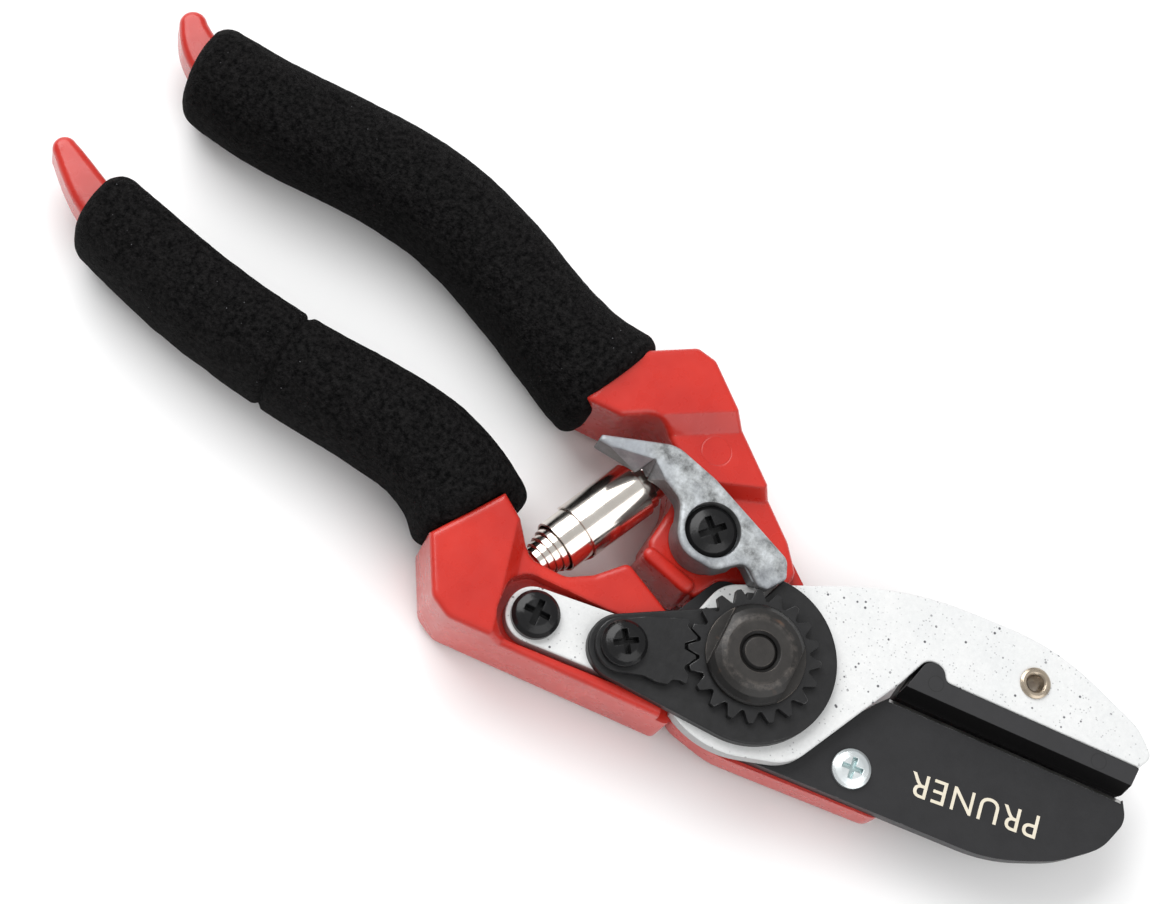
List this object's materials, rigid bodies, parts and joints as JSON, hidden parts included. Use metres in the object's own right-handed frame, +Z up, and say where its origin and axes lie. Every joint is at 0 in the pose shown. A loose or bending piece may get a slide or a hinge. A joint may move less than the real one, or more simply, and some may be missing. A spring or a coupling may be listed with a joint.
{
  "type": "anvil pruning shears",
  "caption": "One-hand anvil pruning shears with foam grips, a volute return spring, a geared pivot nut lock and a turning catch that holds them closed.",
  "frame": {"origin": "on the pivot axis, at the flat underside of the pivot bolt's head, which is the rest plane", "axes": "+Z up along the pivot axis, towards the nut; +X along the tool towards the jaws; +Y towards the side of the upper handle and of the anvil"},
  "size_m": [0.2141, 0.0725, 0.0222],
  "materials": {
    "red_casting": "glossy red paint on die-cast metal",
    "foam": "matte closed-cell foam",
    "white_plate": "pale grey coat with dark pin specks",
    "anvil_plastic": "satin black plastic",
    "rivet_brass": "rolled tubular rivet",
    "dark_steel": "satin black oxide",
    "nut_steel": "blackened steel with bare rubbed edges",
    "bush_brass": "plain bearing metal",
    "zinc": "bright zinc plate",
    "black_screw": "glossy black plate",
    "die_cast": "mottled bare die casting",
    "spring_nickel": "polished nickel plate",
    "blade_coat": "satin non-stick coat"
  },
  "bodies": {
    "anvil_side": {"lower_handle": "red_casting", "lower_grip": "foam", "anvil_plate": "white_plate", "anvil": "anvil_plastic", "anvil_rivet": "rivet_brass", "lock_plate": "dark_steel", "lock_segment": "dark_steel", "toothed_ring": "dark_steel", "pivot_nut": "nut_steel", "pivot_bolt": "nut_steel", "pivot_bush": "bush_brass", "head_washer": "zinc", "thrust_washer": "bush_brass", "plate_screw": "black_screw", "segment_screw": "black_screw", "volute_spring": "spring_nickel"},
    "blade_side": {"upper_handle": "red_casting", "upper_grip": "foam", "blade": "blade_coat", "blade_screw": "zinc", "catch_screw": "black_screw", "catch_washer": "zinc"},
    "catch": {"catch_lever": "die_cast"}
  },
  "joints": [
    {"name": "handles_open", "type": "hinge", "parent": "anvil_side", "child": "blade_side", "pos_m": [0, 0, 0.011], "axis": [0, 0, -1], "range_deg": [0, 28], "deforming": ["volute_spring"]},
    {"name": "catch_turn", "type": "hinge", "parent": "blade_side", "child": "catch", "pos_m": [-0.0169, 0.0142, 0.016], "axis": [0, 0, 1], "range_deg": [0, 44]}
  ],
  "couplings": [
    {"joint": "catch_turn", "follows": "handles_open", "ratio": 1.5}
  ]
}
